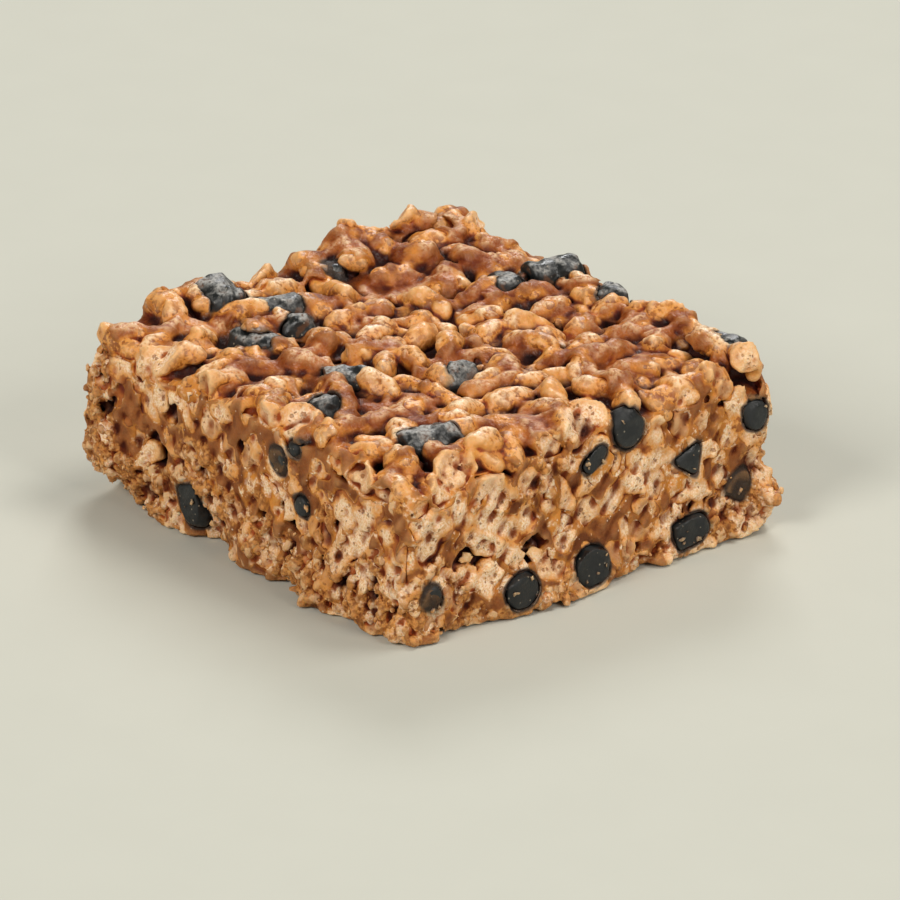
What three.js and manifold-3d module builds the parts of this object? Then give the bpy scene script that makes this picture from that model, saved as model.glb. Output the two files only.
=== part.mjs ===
// A square-cut bar of puffed rice bound with date toffee, with chewy black rods set in its top and sides.
// Millimetres, +Z up. The origin is the centre of the underside, X runs along the wider cut side.
import * as THREE from "three";
import { mergeVertices } from "three/addons/utils/BufferGeometryUtils.js";
import Module from "manifold-3d";

const wasm = await Module();
wasm.setup();

// Driving sizes of the bar
const barWidth = 75;
const barDepth = 70;
const barHeight = 27.3; // mean height of the grain crests
const crestOverCore = 1.4; // how far the crests stand above the toffee between them
const coreCells = { along: 16, across: 15, up: 7 };
const coreBelowFloor = 2; // trimmed off flat, to leave the underside
const cragDepth = 0.55; // relief of the cut sides

// Whole puffed grains, lying over the top
const grainLength = [6.2, 8.6];
const grainWidth = [3.2, 4.3];
const grainFlatness = 0.86; // thickness over width
const grainSides = 5;
const grainGrid = { columns: 12, rows: 10 };
const grainInset = 0.985; // the grid's share of the plan
const grainJitter = 0.62; // share of a cell
const grainLift = 0.75; // either way
const grainSettle = 0.2; // how far the mean grain's top lies under the crest level
const grainPitch = 0.42; // radians, either way
const grainSeed = 20;
const knifeAllowance = 0.6; // how far a grain at the edge may stand past the knife's plane

// Grains that the knife cut through, at the sides
const cutGrainLength = 6.4;
const cutGrainWidth = [3.7, 5.5];
const cutGrainThickness = 2.2;
const cutGrainProud = 0.4;
const cutGrainTurn = 1.2; // radians, either way from upright
const cutGrainSpacing = { along: 15, up: 9 };
const cutGrainHeadroom = 3; // none are cut this near the crests
const cutGrainJitter = { along: 0.5, up: 0.4 }; // share of a cell

// Black rods
const rodRadius = 3.1;
const rodSides = 8;
const rodChamfer = 0.35;
const pocketGap = 0.35; // clearance between a rod and the bar round it
const slantShow = 0.35; // share of its radius that a rod lying along the cut stands nearer to it
const leastCover = 0.2; // share of its radius that a cut rod's centre stays under the cut
const rodProud = 0.35; // how far a cut rod stands out of its side
const rodClearing = 1.3; // how far out the side is cleared in front of a cut rod

// Broad swells and hollows of the top: where, how far it reaches, and how much it lifts the crests
const topForms = [
  { x: -34, y: 26, reach: 11, lift: 2.3 }, // mound at the far corner
  { x: -37, y: 9, reach: 8, lift: 2.6 }, // heaps along the far sides
  { x: -37, y: -18, reach: 9, lift: 2.1 },
  { x: -3, y: 35, reach: 8, lift: 2.1 },
  { x: 14, y: 35, reach: 7, lift: 1.8 },
  { x: 32, y: 33, reach: 4.5, lift: 2.6 },
  { x: 37.5, y: -35, reach: 9, lift: -1.7 }, // worn near corner
  { x: 38, y: 36, reach: 4, lift: -3.2 }, // chipped right corner
  { x: -37.5, y: -35, reach: 5, lift: -2.0 }, // worn left corner
];
const backRise = 0.9; // the far corner lies this much higher than the middle, the near one this much lower

// Swells (+) and chips (-) of the cut sides: the face, the place along it and up it, the reach both ways
const sideForms = [
  { face: "front", along: -36, up: 17, reachAlong: 6, reachUp: 9, out: 0.8 },
  { face: "front", along: -34, up: 8, reachAlong: 6, reachUp: 3.4, out: 2.8 },
  { face: "front", along: -36, up: 0, reachAlong: 7, reachUp: 3, out: -4.2 },
  { face: "front", along: -25, up: 2, reachAlong: 5, reachUp: 3, out: -1.0 },
  { face: "front", along: -9.5, up: 0, reachAlong: 3.2, reachUp: 5, out: -3.4 },
  { face: "front", along: 1, up: 3, reachAlong: 5, reachUp: 5, out: 1.0 },
  { face: "front", along: 9, up: 0, reachAlong: 1.8, reachUp: 4, out: -1.6 },
  { face: "front", along: 15, up: 2, reachAlong: 4.5, reachUp: 5, out: 2.1 },
  { face: "front", along: 29, up: 3, reachAlong: 4.5, reachUp: 4, out: 1.2 },
  { face: "front", along: -20, up: 21, reachAlong: 9, reachUp: 5, out: 0.6 },
  { face: "right", along: -7, up: 1.5, reachAlong: 11, reachUp: 6, out: 1.4 },
  { face: "right", along: 8, up: 0, reachAlong: 30, reachUp: 5, out: 1.5 },
  { face: "right", along: 34, up: 17, reachAlong: 5, reachUp: 8, out: 0.9 },
  { face: "right", along: 8.5, up: 0, reachAlong: 3, reachUp: 4, out: -1.2 },
  { face: "right", along: -27, up: 12, reachAlong: 6, reachUp: 4, out: -0.9 },
  { face: "right", along: 34, up: 5.5, reachAlong: 3.5, reachUp: 2.6, out: 2.4 },
  { face: "right", along: 33, up: 10, reachAlong: 4, reachUp: 2.5, out: -1.6 },
  { face: "left", along: -34, up: 17, reachAlong: 5, reachUp: 8, out: 0.9 },
  { face: "left", along: -33, up: 8, reachAlong: 5, reachUp: 4, out: 2.6 },
  { face: "left", along: 4, up: 3, reachAlong: 9, reachUp: 5, out: 1.1 },
  { face: "left", along: 22, up: 0, reachAlong: 5, reachUp: 5, out: -2.0 },
  { face: "back", along: 36, up: 6, reachAlong: 3.5, reachUp: 2.8, out: 2.4 },
  { face: "back", along: -18, up: 2, reachAlong: 8, reachUp: 5, out: 1.3 },
  { face: "back", along: 12, up: 0, reachAlong: 4, reachUp: 5, out: -2.2 },
  { face: "back", along: 24, up: 14, reachAlong: 9, reachUp: 6, out: 0.8 },
];

// Open voids between the grains of the cut sides: radii along the face, up it and into it
const voids = [
  { face: "front", along: -21.6, up: 11.6, size: [2.6, 2.9, 3.4] },
  { face: "front", along: -17.3, up: 19.2, size: [1.6, 2.0, 2.4] },
  { face: "front", along: -0.3, up: 18.9, size: [1.7, 1.5, 2.6] },
  { face: "front", along: 11.2, up: 12.2, size: [2.4, 2.8, 3.4] },
  { face: "front", along: 24.6, up: 11.0, size: [2.0, 1.3, 2.2] },
  { face: "right", along: -22.0, up: 11.0, size: [3.6, 2.2, 3.6] },
  { face: "right", along: -11.8, up: 8.8, size: [2.6, 2.1, 3.0] },
  { face: "right", along: 7.6, up: 4.4, size: [1.6, 1.4, 1.8] },
  { face: "right", along: 21.0, up: 7.0, size: [2.8, 1.4, 2.2] },
  { face: "left", along: -14, up: 9, size: [2.6, 2.2, 3.2] },
  { face: "left", along: 12, up: 16, size: [2.2, 1.8, 2.8] },
  { face: "left", along: 27, up: 9, size: [1.8, 2.2, 2.6] },
  { face: "back", along: -27, up: 12, size: [2.4, 2.2, 3.0] },
  { face: "back", along: 2, up: 7, size: [3.0, 1.9, 3.2] },
  { face: "back", along: 19, up: 19, size: [1.8, 1.5, 2.4] },
];

// Rods lying in the top: centre in plan, how far the rod's centre is under the crests, and its axis
const topRods = [
  { x: -31, y: -14.8, sink: 1.1, axis: [0.97, -0.14, -0.12], length: 7.4 },
  { x: -17.6, y: -18.6, sink: 2.2, axis: [0.97, 0.22, 0.04], length: 8.0, radius: 2.6 },
  { x: -24.0, y: -9.2, sink: 1.6, axis: [0.34, 0.93, 0.06], length: 6.6 },
  { x: -17.4, y: -10.9, sink: 1.7, axis: [0.8, -0.5, 0.3], length: 6.0, radius: 2.8 },
  { x: 2.4, y: -17.2, sink: 1.9, axis: [0.6, 0.8, 0.02], length: 7.2, radius: 2.9 },
  { x: 8.0, y: -25.6, sink: 2.6, axis: [-0.34, -0.3, 0.89], length: 5.8, radius: 2.9 },
  { x: 11.3, y: -3.2, sink: 2.4, axis: [0.66, -0.42, 0.62], length: 6.4 },
  { x: 26.2, y: -21.4, sink: 2.0, axis: [0.2, 0.98, 0.05], length: 8.8 },
  { x: -8.6, y: 22.2, sink: 1.6, axis: [0.9, -0.36, 0.2], length: 6.4 },
  { x: -6.4, y: 30.0, sink: 1.5, axis: [0.22, 0.97, 0.06], length: 8.2, radius: 3.2 },
  { x: 5.6, y: 31.2, sink: 1.7, axis: [0.72, -0.6, 0.35], length: 5.8, radius: 2.8 },
  { x: -30.4, y: 5.2, sink: 3.0, axis: [0.55, 0.83, 0.05], length: 5.6, radius: 2.7 },
  { x: 31.0, y: 32.0, sink: 2.5, axis: [0.9, 0.4, 0.1], length: 5.2, radius: 2.3 },
];

// Rods that the knife cut through, by side: the cut's centre, the axis into the bar as [along, up, inward]
const cutRods = {
  right: [
    { along: 7.1, up: 22.3, axis: [0.05, -0.6, 0.8], length: 6.5 },
    { along: 0.6, up: 20.3, axis: [0.84, 0.5, 0.2], length: 5.2, radius: 1.5 },
    { along: 19.0, up: 14.4, axis: [0.1, -0.2, 0.97], length: 4.4, radius: 3.3, sides: 3 },
    { along: 31.6, up: 18.6, axis: [0.2, -0.3, 0.93], length: 4.4, radius: 2.6 },
    { along: 18.8, up: 3.6, axis: [0.9, 0.1, 0.42], length: 6.4, radius: 2.7 },
    { along: -0.8, up: 3.9, axis: [0.1, 0.06, 0.99], length: 6.0, radius: 3.3 },
    { along: -13.4, up: 3.7, axis: [0.6, 0.05, 0.8], length: 6.4, radius: 3.0 },
    { along: 28.6, up: 8.2, axis: [0.5, 0.62, 0.6], length: 5.0, radius: 2.4 },
    { along: -30.2, up: 7.4, axis: [0.1, 0.6, 0.79], length: 5.4, radius: 2.2 },
  ],
  front: [
    { along: -13.4, up: 5.0, axis: [0.3, -0.8, 0.5], length: 6.6, radius: 2.6 },
    { along: 8.4, up: 19.4, axis: [0.25, -0.62, 0.74], length: 5.2, radius: 2.1 },
    { along: 14.0, up: 14.6, axis: [0.4, 0.2, 0.9], length: 5.0, radius: 2.1 },
    { along: 12.0, up: 23.0, axis: [0.3, 0.1, 0.95], length: 4.6, radius: 1.8 },
  ],
  left: [
    { along: -20, up: 17.5, axis: [0.2, 0.1, 0.97], length: 6.2 },
    { along: -4, up: 13, axis: [0.7, -0.2, 0.68], length: 5.8, radius: 2.8 },
    { along: 17, up: 7.5, axis: [0.1, 0.5, 0.86], length: 6.0 },
    { along: 28, up: 19, axis: [0.86, 0.3, 0.4], length: 6.0, radius: 2.6 },
    { along: -27, up: 3.9, axis: [0.3, 0.1, 0.95], length: 5.6, radius: 3.0 },
  ],
  back: [
    { along: -31, up: 20, axis: [0.2, -0.3, 0.93], length: 5.8, radius: 2.9 },
    { along: -12, up: 14, axis: [0.1, 0.1, 0.99], length: 6.2 },
    { along: -8, up: 4.2, axis: [0.8, 0.1, 0.6], length: 6.4, radius: 2.9 },
    { along: 12, up: 12.5, axis: [0.3, 0.66, 0.68], length: 6.0, radius: 2.7 },
    { along: 29, up: 6, axis: [0.1, 0.1, 0.98], length: 6.0, radius: 3.2 },
  ],
};

// The side of the bar that each face name stands for: its outward normal and the direction that "along" runs
const alongX = new THREE.Vector3(1, 0, 0);
const alongY = new THREE.Vector3(0, 1, 0);
const faces = {
  front: { normal: new THREE.Vector3(0, -1, 0), along: alongX, half: barDepth / 2, width: barWidth },
  back: { normal: new THREE.Vector3(0, 1, 0), along: alongX, half: barDepth / 2, width: barWidth },
  right: { normal: new THREE.Vector3(1, 0, 0), along: alongY, half: barWidth / 2, width: barDepth },
  left: { normal: new THREE.Vector3(-1, 0, 0), along: alongY, half: barWidth / 2, width: barDepth },
};

const bell = (distance, reach) => Math.exp(-((distance / reach) ** 2));
const mix = (range, share) => range[0] + (range[1] - range[0]) * share;
const spread = (share) => (share - 0.5) * 2; // a draw from 0 to 1, as -1 to 1

// A seeded draw, the same on every run
function seededRandom(seed) {
  let state = seed >>> 0;
  return () => {
    state = (state + 0x6d2b79f5) >>> 0;
    let t = Math.imul(state ^ (state >>> 15), state | 1);
    t ^= t + Math.imul(t ^ (t >>> 7), t | 61);
    return ((t ^ (t >>> 14)) >>> 0) / 2 ** 32;
  };
}

// Height of the grain crests over a point of the plan
function crestLevel(x, y) {
  const towardBack = THREE.MathUtils.clamp((y - x) / (barWidth / 2 + barDepth / 2), -1, 1);
  let level = barHeight + backRise * towardBack;
  for (const form of topForms) level += form.lift * bell(Math.hypot(x - form.x, y - form.y), form.reach);
  return level;
}

// How far a cut side stands out from its plane
function sideSwell(face, along, up) {
  let out = 0;
  for (const form of sideForms)
    if (form.face === face)
      out += form.out * bell(along - form.along, form.reachAlong) * bell(up - form.up, form.reachUp);
  return out;
}

// A point on a cut side, moved inward by depth
function onFace(face, along, up, depth = 0) {
  const { normal, along: direction, half } = faces[face];
  return new THREE.Vector3()
    .addScaledVector(normal, half + sideSwell(face, along, up) - depth)
    .addScaledVector(direction, along)
    .setZ(up);
}

// Axes of a cut side: along it, up it, and out of it
function faceBasis(face) {
  const { normal, along } = faces[face];
  return new THREE.Matrix4().makeBasis(along, new THREE.Vector3().crossVectors(normal, along), normal);
}

// Fine crags, a sum of crossed waves with no common period
function crag(u, v) {
  const crossed = Math.sin(1.13 * u + 0.7) * Math.sin(1.31 * v + 1.9);
  return crossed + 0.6 * Math.sin(2.07 * u - 1.3 * v);
}

function solidFrom(geometry) {
  geometry.deleteAttribute("normal");
  geometry.deleteAttribute("uv");
  const merged = mergeVertices(geometry, 1e-4);
  return new wasm.Manifold(
    new wasm.Mesh({
      numProp: 3,
      vertProperties: merged.attributes.position.array,
      triVerts: new Uint32Array(merged.index.array),
    }),
  );
}

function geometryFrom(solid) {
  const mesh = solid.getMesh();
  const geometry = new THREE.BufferGeometry();
  geometry.setAttribute("position", new THREE.BufferAttribute(mesh.vertProperties, 3));
  geometry.setIndex(new THREE.BufferAttribute(mesh.triVerts, 1));
  const flat = geometry.toNonIndexed();
  flat.computeVertexNormals();
  return flat;
}

// The bound core: a box whose top follows the crests and whose sides swell, chip and crag
function coreGeometry() {
  const { along, across, up } = coreCells;
  const coreHeight = barHeight + coreBelowFloor;
  const geometry = new THREE.BoxGeometry(barWidth, barDepth, coreHeight, along, across, up);
  geometry.translate(0, 0, coreHeight / 2 - coreBelowFloor);
  const position = geometry.attributes.position;
  const atSide = (value, size) => Math.abs(value) > size / 2 - 0.01;
  for (let i = 0; i < position.count; i++) {
    const x = position.getX(i);
    const y = position.getY(i);
    const z = position.getZ(i);
    const height = Math.max(z, 0);
    const relief = cragDepth * crag(x + y, height);
    if (atSide(x, barWidth))
      position.setX(i, x + Math.sign(x) * (sideSwell(x > 0 ? "right" : "left", y, height) + relief));
    if (atSide(y, barDepth))
      position.setY(i, y + Math.sign(y) * (sideSwell(y > 0 ? "back" : "front", x, height) + relief));
    const share = (z + coreBelowFloor) / coreHeight;
    position.setZ(i, share * (crestLevel(x, y) - crestOverCore + coreBelowFloor) - coreBelowFloor);
  }
  return geometry;
}

// One puffed grain, lying along X: a lathed spindle with blunt ends
function grainGeometry(length, width, thickness) {
  const profile = [
    new THREE.Vector2(0, -1),
    new THREE.Vector2(1.02, -0.5),
    new THREE.Vector2(0.96, 0.56),
    new THREE.Vector2(0, 1),
  ];
  const geometry = new THREE.LatheGeometry(profile, grainSides);
  geometry.rotateZ(-Math.PI / 2);
  geometry.scale(length / 2, width / 2, thickness / 2);
  return geometry;
}

// One whole grain of the top, placed by eight draws
function topGrain(column, row, draw) {
  const x = ((column + 0.5 + grainJitter * (draw[0] - 0.5)) / grainGrid.columns - 0.5) * barWidth;
  const y = ((row + 0.5 + grainJitter * (draw[1] - 0.5)) / grainGrid.rows - 0.5) * barDepth;
  const width = mix(grainWidth, draw[2]);
  const thickness = width * grainFlatness;
  const roll = (draw[3] - 0.5) * Math.PI;
  const pitch = spread(draw[4]) * grainPitch;
  const yaw = draw[5] * Math.PI;
  const z = crestLevel(x, y) - grainSettle - thickness / 2 + spread(draw[7]) * grainLift;
  const place = new THREE.Matrix4().makeRotationFromEuler(new THREE.Euler(roll, pitch, yaw, "ZYX"));
  place.setPosition(x * grainInset, y * grainInset, z);
  return solidFrom(grainGeometry(mix(grainLength, draw[6]), width, thickness).applyMatrix4(place));
}

// Whole grains over the top, one to a cell of a jittered grid, trimmed where the knife passed
function topGrains() {
  const random = seededRandom(grainSeed);
  const grains = [];
  for (let row = 0; row < grainGrid.rows; row++)
    for (let column = 0; column < grainGrid.columns; column++)
      grains.push(topGrain(column, row, Array.from({ length: 8 }, random)));
  const knifeWidth = barWidth + 2 * knifeAllowance;
  const knifeDepth = barDepth + 2 * knifeAllowance;
  const knifeBox = new THREE.BoxGeometry(knifeWidth, knifeDepth, barHeight * 3);
  return wasm.Manifold.union(grains).intersect(solidFrom(knifeBox));
}

// One grain cut through by the knife, standing a little proud of its side, placed by four draws
function cutGrain(face, place, up, draw) {
  const geometry = new THREE.IcosahedronGeometry(1, 0);
  geometry.scale(cutGrainLength / 2, mix(cutGrainWidth, draw[2]) / 2, cutGrainThickness / 2);
  geometry.rotateZ(Math.PI / 2 + spread(draw[3]) * cutGrainTurn);
  const depth = cutGrainThickness / 2 - cutGrainProud;
  const frame = faceBasis(face).setPosition(onFace(face, place, up, depth));
  return solidFrom(geometry.applyMatrix4(frame));
}

// Cut grains over the four sides, in staggered rows
function cutGrains() {
  const random = seededRandom(grainSeed + 1);
  const grains = [];
  const rows = Math.round(barHeight / cutGrainSpacing.up);
  for (const [face, { width }] of Object.entries(faces)) {
    const columns = Math.round(width / cutGrainSpacing.along);
    for (let row = 0; row < rows; row++)
      for (let column = 0; column < columns; column++) {
        const draw = Array.from({ length: 4 }, random);
        const step = column + 0.5 + 0.5 * (row % 2) + cutGrainJitter.along * (draw[0] - 0.5);
        const rise = row + 0.5 + cutGrainJitter.up * (draw[1] - 0.5);
        const place = (step / (columns + 0.5) - 0.5) * width;
        grains.push(cutGrain(face, place, (rise / rows) * (barHeight - cutGrainHeadroom), draw));
      }
  }
  return wasm.Manifold.union(grains);
}

// An open void at a cut side, widest at the face
function voidSolid({ face, along, up, size }) {
  const geometry = new THREE.IcosahedronGeometry(1, 0).scale(...size);
  return solidFrom(geometry.applyMatrix4(faceBasis(face).setPosition(onFace(face, along, up))));
}

// A rod along Z, centred on the origin, its inner end chamfered
function rodGeometry({ radius = rodRadius, length, sides = rodSides }) {
  const half = length / 2;
  const profile = [
    new THREE.Vector2(0, -half),
    new THREE.Vector2(radius, -half),
    new THREE.Vector2(radius, half - rodChamfer),
    new THREE.Vector2(radius - rodChamfer, half),
    new THREE.Vector2(0, half),
  ];
  return new THREE.LatheGeometry(profile, sides).rotateX(Math.PI / 2);
}

// The plain pocket round a rod, which clears the way in front of its outer end
function pocketGeometry({ radius = rodRadius, length, sides = rodSides }, clearing) {
  const reach = length + 2 * pocketGap + clearing;
  const geometry = new THREE.CylinderGeometry(radius + pocketGap, radius + pocketGap, reach, sides);
  return geometry.translate(0, -clearing / 2, 0).rotateX(Math.PI / 2);
}

// Where a rod in the top lies
function topPlace(rod) {
  const centre = new THREE.Vector3(rod.x, rod.y, crestLevel(rod.x, rod.y) - rod.sink);
  return placeAlong(centre, new THREE.Vector3(...rod.axis));
}

// Where a cut rod lies: its axis runs into the bar and its outer end is at the cut or past it
function cutPlace(face, rod) {
  const { normal, along } = faces[face];
  const [sideways, upward, inward] = rod.axis;
  const axis = new THREE.Vector3(0, 0, upward);
  axis.addScaledVector(along, sideways).addScaledVector(normal, -inward);
  const radius = rod.radius ?? rodRadius;
  const endDepth = (rod.length / 2) * inward - slantShow * radius * (1 - inward);
  const depth = Math.max(endDepth, leastCover * radius) - rodProud;
  return placeAlong(onFace(face, rod.along, rod.up, depth), axis);
}

function placeAlong(centre, axis) {
  const turn = new THREE.Quaternion().setFromUnitVectors(new THREE.Vector3(0, 0, 1), axis.normalize());
  return new THREE.Matrix4().compose(centre, turn, new THREE.Vector3(1, 1, 1));
}

// Everything outside one side of the bar, from a distance out along its normal
function outside(face, distance) {
  const reach = barWidth * 2;
  const geometry = new THREE.BoxGeometry(reach, reach, reach);
  geometry.translate(...faces[face].normal.clone().multiplyScalar(distance + reach / 2));
  return solidFrom(geometry);
}

const topRodSolid = (rod) => solidFrom(rodGeometry(rod).applyMatrix4(topPlace(rod)));
const topPocket = (rod) => solidFrom(pocketGeometry(rod, 0).applyMatrix4(topPlace(rod)));

function cutRodSolid(face, rod) {
  const cut = onFace(face, rod.along, rod.up).dot(faces[face].normal) + rodProud;
  return solidFrom(rodGeometry(rod).applyMatrix4(cutPlace(face, rod))).subtract(outside(face, cut));
}

function cutPocket(face, rod) {
  const clearing = rodClearing * rod.axis[2];
  return solidFrom(pocketGeometry(rod, clearing).applyMatrix4(cutPlace(face, rod)));
}

function belowFloor() {
  const geometry = new THREE.BoxGeometry(barWidth * 2, barDepth * 2, barHeight);
  return solidFrom(geometry.translate(0, 0, -barHeight / 2));
}

// The bar: core and grains fused, voids and rod pockets cut, the underside cut flat, loose scraps dropped
function barSolid() {
  let bar = wasm.Manifold.union([solidFrom(coreGeometry()), topGrains(), cutGrains()]);
  for (const cavity of voids) bar = bar.subtract(voidSolid(cavity));
  for (const rod of topRods) bar = bar.subtract(topPocket(rod));
  for (const [face, rods] of Object.entries(cutRods))
    for (const rod of rods) bar = bar.subtract(cutPocket(face, rod));
  bar = bar.subtract(belowFloor());
  return bar.decompose().reduce((a, b) => (a.volume() > b.volume() ? a : b));
}

const riceAndToffee = new THREE.MeshStandardMaterial({ color: 0xb87840, roughness: 0.5, metalness: 0 });
const blackChew = new THREE.MeshStandardMaterial({ color: 0x232628, roughness: 0.6, metalness: 0 });

const bar = new THREE.Group();

function addPiece(name, solid, material) {
  const piece = new THREE.Mesh(geometryFrom(solid), material);
  piece.name = name;
  bar.add(piece);
}

const rodName = (place, index) => `black_rod_${place}_${String(index + 1).padStart(2, "0")}`;

addPiece("crispy_bar", barSolid(), riceAndToffee);
topRods.forEach((rod, index) => addPiece(rodName("top", index), topRodSolid(rod), blackChew));
for (const [face, rods] of Object.entries(cutRods))
  rods.forEach((rod, index) => addPiece(rodName(face, index), cutRodSolid(face, rod), blackChew));

export default bar;
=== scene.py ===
# A square-cut bar of puffed rice bound with date toffee, with chewy black rods set in it.
import math
from functools import partial

import bmesh
import bpy
import numpy as np
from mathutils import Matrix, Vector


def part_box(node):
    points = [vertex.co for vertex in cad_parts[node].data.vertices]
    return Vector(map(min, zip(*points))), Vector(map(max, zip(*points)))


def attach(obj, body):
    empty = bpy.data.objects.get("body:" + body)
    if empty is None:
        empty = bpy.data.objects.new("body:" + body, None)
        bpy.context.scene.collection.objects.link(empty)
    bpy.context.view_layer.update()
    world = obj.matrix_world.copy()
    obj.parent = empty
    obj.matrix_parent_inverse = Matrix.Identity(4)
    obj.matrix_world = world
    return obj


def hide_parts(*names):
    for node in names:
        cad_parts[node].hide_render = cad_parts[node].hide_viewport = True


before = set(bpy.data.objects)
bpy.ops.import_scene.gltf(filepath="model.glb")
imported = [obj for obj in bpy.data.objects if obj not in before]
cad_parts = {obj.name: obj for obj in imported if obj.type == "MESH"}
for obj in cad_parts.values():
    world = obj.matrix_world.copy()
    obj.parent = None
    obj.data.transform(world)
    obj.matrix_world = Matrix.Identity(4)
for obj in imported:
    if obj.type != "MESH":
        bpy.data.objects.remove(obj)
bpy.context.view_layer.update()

import openvdb
from mathutils import Vector

mm = 0.001

# The bar's form in millimetres, the same as the solids have
bar = {
    "width": 75.0,  # along X
    "depth": 70.0,  # along Y
    "height": 27.3,  # mean height of the grain crests
    "backRise": 0.9,
    "crag": 0.55,  # relief of the cut sides
    "topForms": [  # x, y, reach, lift
        (-34, 26, 11, 2.3), (-37, 9, 8, 2.6), (-37, -18, 9, 2.1),
        (-3, 35, 8, 2.1), (14, 35, 7, 1.8), (32, 33, 4.5, 2.6),
        (37.5, -35, 9, -1.7), (38, 36, 4, -3.2), (-37.5, -35, 5, -2.0),
    ],
    "sideForms": {  # along, up, reach along, reach up, out
        "front": [
            (-36, 17, 6, 9, 0.8), (-34, 8, 6, 3.4, 2.8), (-36, 0, 7, 3, -4.2), (-25, 2, 5, 3, -1.0),
            (-9.5, 0, 3.2, 5, -3.4), (1, 3, 5, 5, 1.0), (9, 0, 1.8, 4, -1.6), (15, 2, 4.5, 5, 2.1),
            (29, 3, 4.5, 4, 1.2), (-20, 21, 9, 5, 0.6),
        ],
        "right": [
            (-7, 1.5, 11, 6, 1.4), (8, 0, 30, 5, 1.5), (34, 17, 5, 8, 0.9), (8.5, 0, 3, 4, -1.2),
            (-27, 12, 6, 4, -0.9), (34, 5.5, 3.5, 2.6, 2.4), (33, 10, 4, 2.5, -1.6),
        ],
        "left": [
            (-34, 17, 5, 8, 0.9), (-33, 8, 5, 4, 2.6), (4, 3, 9, 5, 1.1), (22, 0, 5, 5, -2.0),
        ],
        "back": [
            (36, 6, 3.5, 2.8, 2.4), (-18, 2, 8, 5, 1.3), (12, 0, 4, 5, -2.2), (24, 14, 9, 6, 0.8),
        ],
    },
    "voids": {  # along, up, radii along, up and inward
        "front": [
            (-21.6, 11.6, 2.6, 2.9, 3.4), (-17.3, 19.2, 1.6, 2.0, 2.4), (-0.3, 18.9, 1.7, 1.5, 2.6),
            (11.2, 12.2, 2.4, 2.8, 3.4), (24.6, 11.0, 2.0, 1.3, 2.2),
        ],
        "right": [
            (-22.0, 11.0, 3.6, 2.2, 3.6), (-11.8, 8.8, 2.6, 2.1, 3.0), (7.6, 4.4, 1.6, 1.4, 1.8),
            (21.0, 7.0, 2.8, 1.4, 2.2),
        ],
        "left": [(-14, 9, 2.6, 2.2, 3.2), (12, 16, 2.2, 1.8, 2.8), (27, 9, 1.8, 2.2, 2.6)],
        "back": [(-27, 12, 2.4, 2.2, 3.0), (2, 7, 3.0, 1.9, 3.2), (19, 19, 1.8, 1.5, 2.4)],
    },
}
faces = {  # outward normal, the way that "along" runs, and how far out the side lies
    "front": ((0, -1, 0), (1, 0, 0), bar["depth"] / 2),
    "back": ((0, 1, 0), (1, 0, 0), bar["depth"] / 2),
    "right": ((1, 0, 0), (0, 1, 0), bar["width"] / 2),
    "left": ((-1, 0, 0), (0, 1, 0), bar["width"] / 2),
}


def bell(distance, reach):
    return np.exp(-((distance / reach) ** 2))


def mix(span, share):
    return span[0] + (span[1] - span[0]) * share


def smoothStep(low, high, value):
    share = np.clip((value - low) / (high - low), 0, 1)
    return share * share * (3 - 2 * share)


def smoothMin(a, b, blend):
    overlap = np.maximum(blend - np.abs(a - b), 0)
    return np.minimum(a, b) - overlap * overlap / (4 * blend)


def crestLevel(x, y):
    towardBack = np.clip((y - x) / (bar["width"] / 2 + bar["depth"] / 2), -1, 1)
    level = bar["height"] + bar["backRise"] * towardBack
    for formX, formY, reach, lift in bar["topForms"]:
        level = level + lift * bell(np.hypot(x - formX, y - formY), reach)
    return level


def sideSwell(face, along, up):
    out = 0
    for formAlong, formUp, reachAlong, reachUp, swell in bar["sideForms"][face]:
        out = out + swell * bell(along - formAlong, reachAlong) * bell(up - formUp, reachUp)
    return out


def crag(u, v):
    crossed = np.sin(1.13 * u + 0.7) * np.sin(1.31 * v + 1.9)
    return crossed + 0.6 * np.sin(2.07 * u - 1.3 * v)


# A fine grid of points through the bar, on which every shape is worked out as a distance in millimetres
grid = {"voxel": 0.28, "low": (-41.5, -39.0, -1.2), "high": (41.5, 39.0, 33.0), "far": 2.0}
counts = [int((high - low) / grid["voxel"]) + 1 for low, high in zip(grid["low"], grid["high"])]
ticks = [low + grid["voxel"] * np.arange(count, dtype=np.float32) for low, count in zip(grid["low"], counts)]
gridX = ticks[0][:, None, None]
gridY = ticks[1][None, :, None]
gridZ = ticks[2][None, None, :]


def splineWeights(axisTicks, start, wavelength):
    place = (axisTicks - start) / wavelength
    base = np.floor(place).astype(int)
    t = place - base
    weights = np.zeros((len(place), base.max() + 4), np.float32)
    rows = np.arange(len(place))
    parts = ((1 - t) ** 3, 3 * t**3 - 6 * t**2 + 4, -3 * t**3 + 3 * t**2 + 3 * t + 1, t**3)
    for step, part in enumerate(parts):
        weights[rows, base + step] = part / 6
    return weights


def noiseField(wavelength, seed, squeeze=(1, 1, 1)):
    # smooth noise with a spread of one: random numbers on a coarse lattice, carried to the grid by splines
    weights = [splineWeights(t, low, wavelength * s) for t, low, s in zip(ticks, grid["low"], squeeze)]
    lattice = np.random.default_rng(seed).standard_normal([w.shape[1] for w in weights]).astype(np.float32)
    field = np.tensordot(weights[0], lattice, (1, 0))
    field = np.tensordot(field, weights[1], (1, 1))
    field = np.tensordot(field, weights[2], (1, 1))
    return field / 0.33


def noisePlan(wavelength, seed):
    weights = [splineWeights(t, low, wavelength) for t, low in zip(ticks[:2], grid["low"])]
    lattice = np.random.default_rng(seed).standard_normal([w.shape[1] for w in weights]).astype(np.float32)
    return (weights[0] @ lattice @ weights[1].T)[:, :, None] / 0.48


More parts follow.
